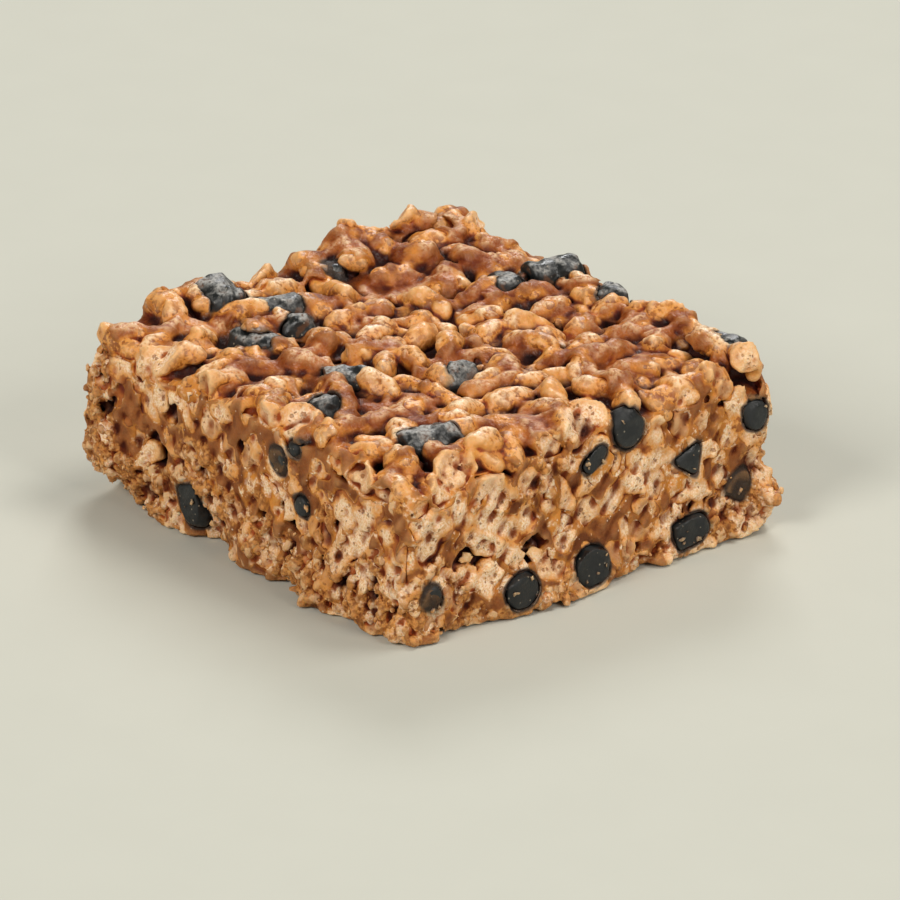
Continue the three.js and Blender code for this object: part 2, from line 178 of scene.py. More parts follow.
# The draw that the solids use, so that the large grains lie where theirs do
def seededRandom(seed):
    state = seed & 0xFFFFFFFF
    while True:
        state = (state + 0x6D2B79F5) & 0xFFFFFFFF
        t = ((state ^ (state >> 15)) * (state | 1)) & 0xFFFFFFFF
        t ^= (t + ((t ^ (t >> 7)) * (t | 61))) & 0xFFFFFFFF
        yield ((t ^ (t >> 14)) & 0xFFFFFFFF) / 2**32


def turnMatrix(roll, pitch, yaw):
    # yaw, then pitch, then roll: each column is where one of the grain's own axes points
    ca, sa, cb, sb, cc, sc = (f(v) for v in (yaw, pitch, roll) for f in (math.cos, math.sin))
    aroundZ = np.array([[ca, -sa, 0], [sa, ca, 0], [0, 0, 1]])
    aroundY = np.array([[cb, 0, sb], [0, 1, 0], [-sb, 0, cb]])
    aroundX = np.array([[1, 0, 0], [0, cc, -sc], [0, sc, cc]])
    return aroundZ @ aroundY @ aroundX


largeGrains = {  # the whole grains of the top that the solids have too
    "length": (6.2, 8.6), "width": (3.2, 4.3), "flatness": 0.86, "columns": 12, "rows": 10,
    "inset": 0.985, "jitter": 0.62, "lift": 0.75, "settle": 0.2, "pitch": 0.42, "seed": 20,
}
smallGrains = {  # those that fill in between and under them
    "length": (5.2, 7.8), "width": (2.9, 3.9), "columns": 15, "rows": 14, "jitter": 0.8,
    "inset": 1.0, "under": (0.9, 2.4), "pitch": 0.35, "flatness": 0.88, "seed": 41,
}
innerGrains = {  # those inside, which the knife cut at the sides and the tin pressed at the underside
    "length": (6.8, 10.4), "width": (3.7, 5.3), "spacing": 4.15, "jitter": 0.95, "steepness": (0.3, 0.98),
    "flatness": 0.9, "underCrest": 4.2, "sideReach": 5.5, "baseReach": 2.2, "seed": 57,
}


def makeGrain(centre, axes, length, width, flatness, draw):
    return {
        "centre": np.array(centre), "axes": axes, "half": (length / 2, width / 2, width * flatness / 2),
        "bend": (draw[0] - 0.5) * 0.09, "lumps": [value * 2 * math.pi for value in draw[1:4]],
    }


def spreadOut(index, count, jitter, value):
    # from -0.5 to 0.5 over a row of count places, each shifted by its draw
    return (index + 0.5 + jitter * (value - 0.5)) / count - 0.5


def placeTopGrains(g, drawOne, levelOf):
    # rows of grains near the crests, each from its own draws, at the level of its middle
    made = []
    for row, column in np.ndindex(g["rows"], g["columns"]):
        draw = drawOne()
        x = spreadOut(column, g["columns"], g["jitter"], draw[0]) * bar["width"]
        y = spreadOut(row, g["rows"], g["jitter"], draw[1]) * bar["depth"]
        width = mix(g["width"], draw[2])
        centre = (x * g["inset"], y * g["inset"], levelOf(crestLevel(x, y), width, draw[7]))
        axes = turnMatrix((draw[3] - 0.5) * math.pi, (draw[4] - 0.5) * 2 * g["pitch"], draw[5] * math.pi)
        made.append(makeGrain(centre, axes, mix(g["length"], draw[6]), width, g["flatness"], draw[8:12]))
    return made


def placeLargeGrains():
    g = largeGrains
    random = seededRandom(g["seed"])
    shape = np.random.default_rng(g["seed"])

    def levelOf(crest, width, value):
        return crest - g["settle"] - width * g["flatness"] / 2 + (value - 0.5) * 2 * g["lift"]

    return placeTopGrains(g, lambda: [next(random) for _ in range(8)] + list(shape.random(4)), levelOf)


def placeSmallGrains():
    g = smallGrains
    random = np.random.default_rng(g["seed"])

    def levelOf(crest, width, value):
        return crest - width / 2 - mix(g["under"], value)

    return placeTopGrains(g, lambda: random.random(12), levelOf)


def placeInnerGrains():
    g = innerGrains
    random = np.random.default_rng(g["seed"])
    columns, rows, layers = (int(bar[side] / g["spacing"]) + 1 for side in ("width", "depth", "height"))
    made = []
    for layer, row, column in np.ndindex(layers, rows, columns):
        draw = random.random(12)
        x, y, z = (
            (index - (count - 1) / 2 + g["jitter"] * (value - 0.5)) * g["spacing"] + offset
            for index, count, value, offset in (
                (column, columns, draw[0], 0), (row, rows, draw[1], 0),
                (layer, layers, draw[2], bar["height"] / 2),
            )
        )
        nearSide = max(abs(x) - bar["width"] / 2, abs(y) - bar["depth"] / 2) > -g["sideReach"]
        if z > crestLevel(x, y) - g["underCrest"] or not (nearSide or z < g["baseReach"]) or z < 0.3:
            continue
        steep = math.asin(mix(g["steepness"], abs(draw[4] * 2 - 1))) * (1 if draw[4] > 0.35 else -1)
        axes = turnMatrix(draw[3] * math.pi, steep, draw[5] * math.pi)
        width = mix(g["width"], draw[6])
        length = mix(g["length"], draw[7])
        made.append(makeGrain((x, y, z), axes, length, width, g["flatness"], draw[8:12]))
    return made


def lengthAlong(x, y, z, axis):
    return x * np.float32(axis[0]) + y * np.float32(axis[1]) + z * np.float32(axis[2])


def splatGrains(grains):
    # distance to the nearest grain and to the second nearest, and which one is nearest
    first = np.full(counts, grid["far"], np.float32)
    second = first.copy()
    owner = np.full(counts, -1, np.int16)
    margin = 1.6  # mm round each grain
    for index, grain in enumerate(grains):
        reach = np.sqrt((grain["axes"] ** 2) @ (np.array(grain["half"]) ** 2)) + margin
        block, local = [], []
        for axis in range(3):
            low = np.searchsorted(ticks[axis], grain["centre"][axis] - reach[axis])
            high = np.searchsorted(ticks[axis], grain["centre"][axis] + reach[axis])
            block.append(slice(low, high))
            local.append(ticks[axis][low:high] - np.float32(grain["centre"][axis]))
        if min(len(t) for t in local) < 2:
            continue
        block = tuple(block)
        dx, dy, dz = local[0][:, None, None], local[1][None, :, None], local[2][None, None, :]
        u, v, w = (lengthAlong(dx, dy, dz, axis) for axis in grain["axes"].T)
        a, b, c = grain["half"]
        w = w + np.float32(grain["bend"]) * (u * u - 0.3 * a * a)
        lumpU, lumpV, lumpW = grain["lumps"]
        lump = 0.055 * np.sin(1.5 * u + lumpU) * np.cos(1.7 * v + lumpV)
        lump = lump + 0.035 * np.sin(2.7 * u + 1.9 * w + lumpW)
        groove = 0.10 * bell(v, 0.3 * b) * (w > 0)
        ends = np.abs(u / a) ** 3
        k = np.sqrt(ends + (v / b) ** 2 + (w / c) ** 2) + lump + groove
        distance = (k - 1) * ((b + c) / 2)
        mineFirst, mineSecond = first[block], second[block]
        nearer = distance < mineFirst
        second[block] = np.where(nearer, mineFirst, np.minimum(mineSecond, distance))
        owner[block][nearer] = index
        first[block] = np.where(nearer, distance, mineFirst)
    return first, second, owner


def inVoid(x, y, z, grow=1.0):
    # below one inside an open void
    depth = 9.0
    for face, spots in bar["voids"].items():
        normal, direction, half = faces[face]
        out = x * normal[0] + y * normal[1]
        along = x * direction[0] + y * direction[1]
        for spotAlong, spotUp, reachAlong, reachUp, reachIn in spots:
            surface = half + sideSwell(face, spotAlong, spotUp)
            ball = ((along - spotAlong) / reachAlong) ** 2 + ((z - spotUp) / reachUp) ** 2
            ball = ball + ((out - surface) / reachIn) ** 2
            depth = np.minimum(depth, np.sqrt(ball) / grow)
    return depth


print("placing grains")
topGrains = placeLargeGrains() + placeSmallGrains()
sideGrains = [g for g in placeInnerGrains() if inVoid(*g["centre"], grow=0.9) > 1]
print("grains:", len(topGrains), "on top,", len(sideGrains), "inside")

topFirst, topSecond, topOwner = splatGrains(topGrains)
sideFirst, sideSecond, sideOwner = splatGrains(sideGrains)
print("working out the cut sides")
torn = {  # patches where the knife tore the bar instead of cutting it: along, up, reach along, reach up
    "front": [(-29, 5, 10, 6), (-13, 8, 9, 8), (8, 5, 9, 7), (23, 3, 9, 5), (33, 4, 7, 7), (-35, 15, 3, 10)],
    "right": [(-31, 5, 7, 7), (31, 7, 7, 5), (5, 1, 40, 2.5)],
    "left": [(-30, 6, 8, 6), (0, 4, 14, 5), (26, 8, 7, 7)],
    "back": [(-26, 6, 8, 7), (4, 4, 9, 5), (30, 6, 8, 6)],
}
smears = {  # patches where toffee was dragged over the cut grains
    "front": [(-8, 16, 4, 7), (3, 12, 5, 4), (18, 13, 3, 4)],
    "right": [(-20, 18, 3, 4), (-8, 14, 3, 7), (3, 19, 5, 4), (16, 15, 3, 8), (24, 8, 5, 3)],
    "left": [(-20, 15, 5, 7), (3, 16, 5, 6), (20, 14, 6, 6)],
    "back": [(-20, 16, 6, 6), (5, 15, 5, 7), (26, 15, 5, 6)],
}
pale = {  # patches where clean grains broke open
    "front": [(24, 20, 6, 6), (9, 23, 6, 4), (-17, 23, 8, 4), (-30, 18, 8, 7), (35, 13, 4, 8)],
    "right": [
        (-27, 18, 9, 8), (-2, 24, 6, 4), (-12, 12, 6, 4), (9, 17, 5, 5), (29, 20, 6, 5), (20, 7, 8, 3),
        (35, 6, 3, 3),
    ],
    "left": [(-12, 20, 7, 5), (15, 8, 6, 5), (30, 20, 5, 5)],
    "back": [(-30, 20, 6, 6), (-6, 12, 6, 5), (16, 8, 6, 4), (34, 16, 4, 8)],
}
broken = {  # places on the top edge where grains broke away: along, reach along, how deep
    "front": [(10.5, 6, 2.7), (24, 5, 2.5), (-22, 6, 1.8)],
    "right": [(-24, 8, 3.0), (0, 5, 2.9), (27, 5, 1.8)],
    "left": [(-8, 8, 2.6), (20, 7, 2.4)],
    "back": [(-24, 7, 2.5), (10, 8, 2.7)],
}
up = np.maximum(gridZ, 0)
crests = crestLevel(gridX, gridY)
slope = np.full(counts, -80, np.float32)
outs = {}
tornAmount = np.zeros(counts, np.float32)
smearAmount = np.zeros(counts, np.float32)
paleAmount = np.zeros(counts, np.float32)
sideOut = np.full(counts, -80, np.float32)
for face, (normal, direction, half) in faces.items():
    along = gridY if normal[0] else gridX
    out = (normal[0] * gridX + normal[1] * gridY - half) - sideSwell(face, along, up)
    tornHere, smearHere, paleHere = (
        sum(bell(along - a, ra) * bell(up - u, ru) for a, u, ra, ru in patches[face])
        for patches in (torn, smears, pale)
    )
    nearer = out > sideOut
    tornAmount = np.where(nearer, tornHere, tornAmount)
    smearAmount = np.where(nearer, smearHere, smearAmount)
    paleAmount = np.where(nearer, paleHere, paleAmount)
    outs[face] = out
    sideOut = -smoothMin(-sideOut, -out, 2.4)
    breakage = sum((deep + 3) * bell(along - a, reach) for a, reach, deep in broken[face]) - 3
    slope = np.maximum(slope, 0.7 * (out + gridZ - crests) + breakage)
noises = {  # wavelength in mm, and seed
    "torn": (4.0, 102), "coarse": (4.5, 103), "fine": (1.15, 104), "medium": (2.3, 105), "pores": (1.8, 106),
    "pits": (2.6, 107), "gritty": (0.8, 109), "broadDrape": (9.0, 201), "smallDrape": (4.2, 202),
    "fill": (3.2, 203),
}
tornAmount = np.clip(tornAmount * 1.2 + 0.2 * noiseField(*noises["torn"]) - 0.1, 0, 1)
fine = noiseField(*noises["fine"])
medium = noiseField(*noises["medium"])
gritty = noiseField(*noises["gritty"])

print("reading the black rods")
rodNames = sorted(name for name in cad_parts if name.startswith("black_rod_"))
filmedRods = {"black_rod_right_08", "black_rod_right_09", "black_rod_front_02", "black_rod_top_12"}


def rodPlanes(name):
    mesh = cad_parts[name].data
    planes = {}
    for polygon in mesh.polygons:
        normal = np.array(polygon.normal)
        offset = float(normal @ np.array(polygon.center)) / mm
        planes[tuple(np.round([*normal, offset], 2))] = (normal, offset)
    return list(planes.values())


def rodShape(planes, x, y, z, rounding):
    # distance to a rod with its edges eased
    shape = None
    for normal, offset in planes:
        face = lengthAlong(x, y, z, normal) - np.float32(offset)
        shape = face if shape is None else -smoothMin(-shape, -face, rounding)
    return shape


def cutAt(name, planes):
    # the side that the rod was cut at, its direction, and the rod's planes round and at the cut
    place = name.split("_")[2]
    outward = np.array(faces[place][0])
    walls = [plane for plane in planes if plane[0] @ outward < 0.95]
    caps = [plane for plane in planes if plane[0] @ outward >= 0.95]
    return place, outward, walls, caps


def wholeRod(name, planes, x, y, z):
    # a rod in the top is eased all over, and one at a side keeps the crisp edge that the knife gave it
    if "_top_" in name:
        return rodShape(planes, x, y, z, 0.8) - 0.08
    _, _, walls, caps = cutAt(name, planes)
    shaft = rodShape(walls, x, y, z, 1.4 if len(walls) > 5 else 0.3) - (0.16 if len(walls) > 5 else 0.03)
    return -smoothMin(-shaft, -rodShape(caps, x, y, z, 0.1), 0.12) if caps else shaft


rodDistance = np.full(counts, 6.0, np.float32)
cutRodDistance = rodDistance.copy()
filmedDistance = rodDistance.copy()
clearing = rodDistance.copy()
rods = {}
for name in rodNames:
    low, high = (np.array(corner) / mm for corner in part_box(name))
    planes = rodPlanes(name)
    rods[name] = (planes, low, high)
    block = tuple(
        slice(np.searchsorted(t, a - 3.0), np.searchsorted(t, b + 3.0)) for t, a, b in zip(ticks, low, high)
    )
    shape = wholeRod(name, planes, gridX[block[0]], gridY[:, block[1]], gridZ[:, :, block[2]])
    rodDistance[block] = np.minimum(rodDistance[block], shape)
    if name in filmedRods:
        filmedDistance[block] = np.minimum(filmedDistance[block], shape)
    if "_top_" not in name:
        cutRodDistance[block] = np.minimum(cutRodDistance[block], shape)
        place, _, walls, _ = cutAt(name, planes)
        shape = rodShape(walls, gridX[block[0]], gridY[:, block[1]], gridZ[:, :, block[2]], 1.4) - 0.1
        clearing[block] = np.minimum(clearing[block], np.maximum(shape, -0.5 - outs[place][block]))
print("rods:", len(rods))

ripple = -0.5 * bar["crag"] * crag(gridX + gridY, up)
tearing = {"out": 0.4, "medium": 0.45, "fine": 0.35, "gritty": 0.22}  # mm of relief on the torn patches
tornRelief = tearing["out"] + tearing["medium"] * medium + tearing["fine"] * fine + tearing["gritty"] * gritty
relief = ripple + tornAmount * tornRelief + 0.04 * fine
# the cut lies smooth and whole round the rods
slope = slope - 3 * smoothStep(2.0, 0.5, cutRodDistance)
sideOut = np.maximum(sideOut, slope) + relief * smoothStep(0.0, 3.0, cutRodDistance)

grit = {  # the broken bits on the torn patches, in mm
    "count": 3400, "size": (0.3, 1.25), "flat": (0.3, 0.8), "squareness": (1.1, 3.0), "depth": 0.5,
    "seed": 63,
}


def splatGrit():
    # distance to the nearest of the broken bits that cover the torn patches
    g = grit
    random = np.random.default_rng(g["seed"])
    distance = np.full(counts, grid["far"], np.float32)
    near = np.flatnonzero((np.abs(sideOut + g["depth"]) < 0.25) & (tornAmount > 0.12) & (gridZ > 0.5))
    weight = tornAmount.ravel()[near].astype(float) ** 1.5
    spots = np.unravel_index(random.choice(near, g["count"], replace=False, p=weight / weight.sum()), counts)
    for place in zip(*spots):
        stretch = np.array([1, random.uniform(0.5, 1), random.uniform(*g["flat"])])
        half = mix(g["size"], random.random() ** 2) * stretch
        turn = turnMatrix(*(random.random(3) * 2 * math.pi))
        power = random.uniform(*g["squareness"])
        steps = int((half[0] + 0.5) / grid["voxel"]) + 1
        block = tuple(slice(max(p - steps, 0), p + steps + 1) for p in place)
        dx, dy, dz = (t[b] - t[p] for t, b, p in zip(ticks, block, place))
        u, v, w = (lengthAlong(dx[:, None, None], dy[:, None], dz, axis) for axis in turn.T)
        bit = np.abs(u / half[0]) ** power + np.abs(v / half[1]) ** power + np.abs(w / half[2]) ** power
        bit = (bit ** (1 / power) - 1) * half[2]
        distance[block] = np.minimum(distance[block], bit)
    return distance


gritDistance = splatGrit() + 0.07 * gritty

print("pouring the toffee")
pour = {  # mm: the film over bare and draped grains, and how far under the crests the toffee there reaches
    "film": (0.0, 0.52), "fill": (3.2, 2.1), "meniscus": 0.9,
}
plump = {"top": 0.34, "side": 0.1, "opened": 0.6, "merged": 0.75}  # mm by which the grains swell
drape = 0.75 * noisePlan(*noises["broadDrape"]) + 0.55 * noisePlan(*noises["smallDrape"]) - 0.15
drape = smoothStep(-0.3, 0.9, drape)
coarse = noiseField(*noises["coarse"])
topBound = smoothMin(topFirst, topSecond, 2.4)
opened = smoothStep(-2.6, -0.6, slope)
topFirst = topFirst - plump["top"] + 0.09 * fine + 0.16 * medium + 0.04 * gritty - plump["opened"] * opened
sideFirst = sideFirst - plump["side"] + 0.08 * fine + 0.12 * medium + 0.05 * gritty
vein = np.clip(0.13 + 0.2 * coarse + 0.06 * medium, 0.0, 0.8)  # half the toffee between two cut grains
fillLevel = crests - mix(pour["fill"], drape) + 0.35 * noisePlan(*noises["fill"])
film = mix(pour["film"], drape) + 0.13 * medium + 0.12 * fine + 0.06 * gritty
toffeeTop = smoothMin(gridZ - fillLevel, topBound - film, pour["meniscus"])

cut = {  # mm by which a cut grain stands out or in, and by which toffee lies under its rim and its middle
    "sideProud": (-0.3, 0.25), "topProud": (-0.3, 0.2), "rimRecess": 0.05, "middleRecess": 1.3,
    "faceDepth": 1.8, "seed": 77,
}
random = np.random.default_rng(cut["seed"])
sideProud = random.uniform(*cut["sideProud"], len(sideGrains)).astype(np.float32)
sideTone = random.random(len(sideGrains)).astype(np.float32)
topTone = random.random(len(topGrains)).astype(np.float32)
topCutProud = random.uniform(*cut["topProud"], len(topGrains)).astype(np.float32)
smearDraw = random.random(len(sideGrains)).astype(np.float32)
isSmeared = smearDraw[sideOwner] < 0.06 + 0.7 * np.clip(smearAmount * 1.3 - 0.3 - paleAmount, -0.08, 1)
wholeSide = np.maximum(sideFirst, vein - (sideSecond - sideFirst) / 2)
voidShape = (inVoid(gridX, gridY, gridZ) - 1) * 2.2 + 0.3 * fine + 0.35 * medium
# where clean grains broke open they run into one another, but they leave the open voids free
merged = smoothStep(0.35, 0.9, np.maximum(paleAmount, opened) + 0.15 * medium)
merged = merged * smoothStep(0.2, 1.6, voidShape)
wholeSide = wholeSide - plump["merged"] * merged
wholeSide = np.maximum(wholeSide, 0.08 - topFirst)
shownSide = np.where(isSmeared, np.float32(grid["far"]), wholeSide)
allRice = np.minimum(topFirst, wholeSide)
recess = cut["rimRecess"] + cut["middleRecess"] * smoothStep(0.0, 0.6, -np.minimum(topFirst, shownSide))

# small bubbles in the cut toffee, and pits in what was poured on top
pores = np.where(sideOut > -4.5, (2.6 - 1.5 * tornAmount - noiseField(*noises["pores"])) * 0.8, grid["far"])
pits = np.where(gridZ > fillLevel - 2.5, (1.15 - noiseField(*noises["pits"])) * 0.9, grid["far"])

toffee = np.maximum(toffeeTop, sideOut + recess)
toffee = np.maximum(toffee, 0.14 + 0.1 * medium - gridZ)
toffee = np.maximum(toffee, -np.minimum(voidShape, np.minimum(pores, pits)))
pocketGap = np.clip(0.03 + 0.08 * medium, 0, 0.2)
openRod = np.where(filmedDistance < 3, np.float32(6), rodDistance)
openClearing = np.where(filmedDistance < 3, np.float32(6), clearing)
collar = np.maximum(cutRodDistance - 0.3 - 0.15 * medium, sideOut + 0.12 + 0.1 * fine)
toffee = np.minimum(toffee, np.maximum(collar, gridZ - fillLevel + 0.4))
looseBits = np.maximum(gritDistance, 0.35 - cutRodDistance)
looseBits = np.maximum(looseBits, np.maximum(-voidShape, gridZ - fillLevel + 0.8))
looseBits = np.maximum(looseBits, 0.1 - gridZ)
toffee = np.minimum(toffee, looseBits)
del looseBits, collar, pores, pits, recess, toffeeTop, film, topBound  # large, and not needed again
sunk = np.minimum(-sideOut, fillLevel - gridZ)
toffee = np.maximum(toffee, pocketGap - openRod - 3 * smoothStep(1.5, 2.6, sunk))
toffee = np.maximum(toffee, -openClearing)
toffee = smoothMin(toffee, filmedDistance - 0.1 - 0.05 * medium, 0.5)
del sunk, openRod, openClearing, filmedDistance, cutRodDistance, opened, merged, slope, coarse, vein

riceClearing = np.minimum(rodDistance, clearing)
foamPits = 0.16 * smoothStep(0.5, 1.7, gritty) + 0.1 * np.abs(fine)
glazedRice = np.maximum(topFirst, sideOut - topCutProud[topOwner] + 0.3 * np.abs(medium) + foamPits)
glazedRice = np.maximum(glazedRice, fillLevel - 2.2 - gridZ)
glazedRice = np.maximum(glazedRice, 0.1 - riceClearing)

cutFace = sideOut - sideProud[sideOwner] + foamPits
cutRice = np.maximum(shownSide, cutFace)
cutRice = np.maximum(cutRice, np.maximum(-gridZ, gridZ - fillLevel + 0.2))
cutRice = np.maximum(cutRice, 0.1 - riceClearing)
inVoids = smoothStep(1.2, 0.2, voidShape)
smoothOut = np.maximum(np.maximum(outs["front"], outs["back"]), np.maximum(outs["left"], outs["right"]))
sideSlab = np.maximum(cutRice, -(smoothOut + cut["faceDepth"] + 4 * inVoids))
sideSlab = np.maximum(sideSlab, np.where(voidShape < 0.1, sideOut + 0.35, -9))
pressedRice = np.maximum(cutRice, np.maximum(gridZ - 0.9, sideOut + cut["faceDepth"]))
del cutRice, cutFace, foamPits, riceClearing, smoothOut, inVoids, voidShape, wholeSide, shownSide, clearing
del topSecond, sideSecond, isSmeared, smearAmount, medium, relief, ripple


def boxBlur(field, reach):
    # the mean over a cube of the grid, one axis after another
    width = 2 * reach + 1
    for axis in range(3):
        first, last = np.take(field, [0], axis), np.take(field, [-1], axis)
        padded = np.concatenate([
            np.repeat(first, reach + 1, axis), field, np.repeat(last, reach, axis)
        ], axis)
        running = np.cumsum(padded, axis, dtype=np.float32)
        ahead = np.take(running, range(width, running.shape[axis]), axis)
        field = (ahead - np.take(running, range(0, running.shape[axis] - width), axis)) / width
    return field


print("finding the hollows")
# how enclosed each point is, which the materials use for painted shade in the hollows and a painted highlight
# on what is proud
solid = np.minimum(np.minimum(toffee, glazedRice), np.minimum(np.minimum(sideSlab, pressedRice), rodDistance))
solid = np.clip(0.5 - solid / (2 * grid["voxel"]), 0, 1).astype(np.float32)
hollows = boxBlur(boxBlur(solid, 3), 2)
deepHollows = boxBlur(boxBlur(solid, 7), 5)
del solid


def fieldSurface(field, step, start):
    # the closed surface where the field is zero, as points in millimetres and quads facing outward
    volume = openvdb.FloatGrid(background=0.9)
    volume.copyFromArray(np.clip(field, -0.9, 0.9).astype(np.float32), tolerance=0.001)
    volume.transform = openvdb.createLinearTransform(voxelSize=step)
    points, _, quads = volume.convertToPolygons(0.0, 0.0)
    points = points + np.array(start, np.float32)
    corners = points[quads]
    spread = np.cross(corners[:, 2] - corners[:, 0], corners[:, 3] - corners[:, 1])
    outward = ((corners.mean(axis=1) - points.mean(axis=0)) * spread).sum() > 0
    return points, quads if outward else quads[:, ::-1]


def dropScraps(points, quads, least):
    # leaves out what hangs together in fewer than least points
    label = np.arange(len(points))
    edges = np.concatenate([quads[:, [0, 1]], quads[:, [1, 2]], quads[:, [2, 3]]])
    while True:
        before = label.copy()
        lowest = np.minimum(label[edges[:, 0]], label[edges[:, 1]])
        np.minimum.at(label, edges[:, 0], lowest)
        np.minimum.at(label, edges[:, 1], lowest)
        label = label[label[label]]
        if (label == before).all():
            break
    sizes = np.bincount(label, minlength=len(points))
    kept = sizes[label] >= min(least, sizes.max())
    number = np.cumsum(kept) - 1
    return points[kept], number[quads[kept[quads[:, 0]]]]


def meshFrom(name, points, polygons):
    mesh = bpy.data.meshes.new(name)
    sides = polygons.shape[1]
    mesh.vertices.add(len(points))
    mesh.vertices.foreach_set("co", (points * mm).astype(np.float32).ravel())
    mesh.loops.add(polygons.size)
    mesh.loops.foreach_set("vertex_index", polygons.astype(np.int32).ravel())
    mesh.polygons.add(len(polygons))
    mesh.polygons.foreach_set("loop_start", np.arange(0, polygons.size, sides, dtype=np.int32))
    mesh.update(calc_edges=True)
    return mesh


def lightened(mesh, budget):
    # the same surface with about budget triangles, the fewest where it is flattest
    triangles = len(mesh.polygons) * 2
    holder = newObject("holder", mesh)
    thin = holder.modifiers.new("thin", "DECIMATE")
    thin.ratio = min(budget / triangles, 1)
    made = bpy.data.meshes.new_from_object(holder.evaluated_get(bpy.context.evaluated_depsgraph_get()))
    name = mesh.name
    bpy.data.objects.remove(holder)
    bpy.data.meshes.remove(mesh)
    made.name = name
    return made


def meshPoints(mesh):
    flat = np.empty(len(mesh.vertices) * 3, np.float32)
    mesh.vertices.foreach_get("co", flat)
    return flat.reshape(-1, 3) / mm


def sampleField(field, points):
    # what a grid field holds at points in millimetres, in straight lines between the grid's points
    place = (points - np.array(grid["low"])) / grid["voxel"]
    base = np.clip(np.floor(place).astype(int), 0, np.array(counts) - 2)
    share = np.clip(place - base, 0, 1)
    total = np.zeros(len(points))
    for corner in np.ndindex(2, 2, 2):
        weight = np.prod(np.where(corner, share, 1 - share), axis=1)
        total += weight * field[tuple((base + corner).T)]
    return total


def sampleNearest(field, points):
    place = np.rint((points - np.array(grid["low"])) / grid["voxel"]).astype(int)
    return field[tuple(np.clip(place, 0, np.array(counts) - 1).T)]


def newObject(name, data):
    made = bpy.data.objects.new(name, data)
    bpy.context.scene.collection.objects.link(made)
    return made


def storeValues(mesh, values):
    for name, value in values.items():
        mesh.attributes.new(name, "FLOAT", "POINT").data.foreach_set("value", value.astype(np.float32))


def placePiece(mesh, material):
    piece = newObject(mesh.name, mesh)
    mesh.materials.append(material)
    mesh.polygons.foreach_set("use_smooth", [True] * len(mesh.polygons))
    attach(piece, "root")
    return piece


def finishValues(mesh):
    # what the materials read: how torn, how sunk, how near a rod, and if it is on top or the knife cut it
    points = meshPoints(mesh)
    inward = -sampleField(sideOut, points)
    underCrest = sampleField(np.broadcast_to(crests, counts), points) - points[:, 2]
    return points, {
        "torn": sampleField(tornAmount, points),
        "hollow": sampleField(hollows, points),
        "deep": sampleField(deepHollows, points),
        "rodGap": sampleField(rodDistance, points),
        "onTop": np.clip((5 - underCrest) / 2, 0, 1) * np.clip((inward - 0.5) / 1.5, 0, 1),
        "cut": np.clip((0.9 - inward) / 0.5, 0, 1),
    }


def pieceFromField(name, field, least):
    points, quads = dropScraps(*fieldSurface(field, grid["voxel"], grid["low"]), least)
    mesh = lightened(meshFrom(name, points, quads), budgets[name])
    print(name, "keeps", len(mesh.polygons), "of", len(quads) * 2, "triangles")
    return mesh


def asLinear(hexColour):
    # an sRGB hex colour as the linear colour that nodes take
    parts = [int(hexColour[i:i + 2], 16) / 255 for i in (1, 3, 5)]
    return (*[c / 12.92 if c <= 0.04045 else ((c + 0.055) / 1.055) ** 2.4 for c in parts], 1)


nodeKinds = {  # the node, its own settings, the inputs that a tuple fills, and the output that is used
    "mix": ("ShaderNodeMix", {"data_type": "RGBA"}, (0, 6, 7), 2),
    "darken": ("ShaderNodeMix", {"data_type": "RGBA", "blend_type": "MULTIPLY"}, (0, 6, 7), 2),
    "range": ("ShaderNodeMapRange", {}, (0, 1, 2, 3, 4), 0),
    "noise": ("ShaderNodeTexNoise", {}, ("Scale", "Detail", "Vector"), 0),
    "cells": ("ShaderNodeTexVoronoi", {}, ("Scale", "Vector"), "Distance"),
    "attribute": ("ShaderNodeAttribute", {}, ("attribute_name",), "Fac"),
}
for kind, operation in (
    ("add", "ADD"), ("subtract", "SUBTRACT"), ("multiply", "MULTIPLY"), ("multiplyAdd", "MULTIPLY_ADD"),
    ("maximum", "MAXIMUM"),
):
    nodeKinds[kind] = ("ShaderNodeMath", {"operation": operation}, (0, 1, 2), 0)


def addNode(tree, kind, settings, output=0):
    # settings name a property or an input of the node, and hold its value or the output that feeds it
    kind, own, order, output = nodeKinds.get(kind, (kind, {}, (), output))
    named = settings if isinstance(settings, dict) else dict(zip(order, settings))
    node = tree.nodes.new(kind)
    for key, value in {**own, **named}.items():
        if isinstance(value, bpy.types.NodeSocket):
            tree.links.new(value, node.inputs[key])
        elif isinstance(key, str) and hasattr(node, key):
            setattr(node, key, value)
        else:
            node.inputs[key].default_value = asLinear(value) if str(value).startswith("#") else value
    return node.outputs[output] if len(node.outputs) else node


def newMaterial(name):
    material = bpy.data.materials.new(name)
    material.use_nodes = True
    material.node_tree.nodes.clear()
    return material, material.node_tree


def perMetre(size):
    # the scale that gives a pattern of that many millimetres
    return 1 / (size * mm)


def surfaceFacts(node):
    # the sockets that the bar's materials share
    facts = {
        name: node("attribute", (name,))
        for name in ("inside", "exposed", "tone", "torn", "rodGap", "onTop", "hollow", "deep", "cut")
    }
    place = node("ShaderNodeTexCoord", {}, "Object")
    facts["place"] = place
    for name, size, detail in (
        ("broad", 7.0, 2.0), ("middling", 1.9, 3.0), ("small", 0.6, 3.0),
        ("tiny", 0.32, 2.0),  # the finest cells of puffed rice wouldn't show, so this is as coarse as shows
    ):
        facts[name] = node("noise", (perMetre(size), detail, place))
    # how much a surface faces up, which sets where the painted sheen falls
    normal = node("ShaderNodeNewGeometry", {}, "Normal")
    facing = node("ShaderNodeSeparateXYZ", {0: normal}, "Z")
    facts["facing"] = node("range", (facing, 0.45, 0.95))
    # how far inside a grain, made ragged as torn foam is
    ragged = node("multiplyAdd", (facts["small"], 1.1, facts["inside"]))
    ragged = node("multiplyAdd", (facts["middling"], 1.0, ragged))
    facts["ragged"] = node("subtract", (ragged, 1.05))
    return facts


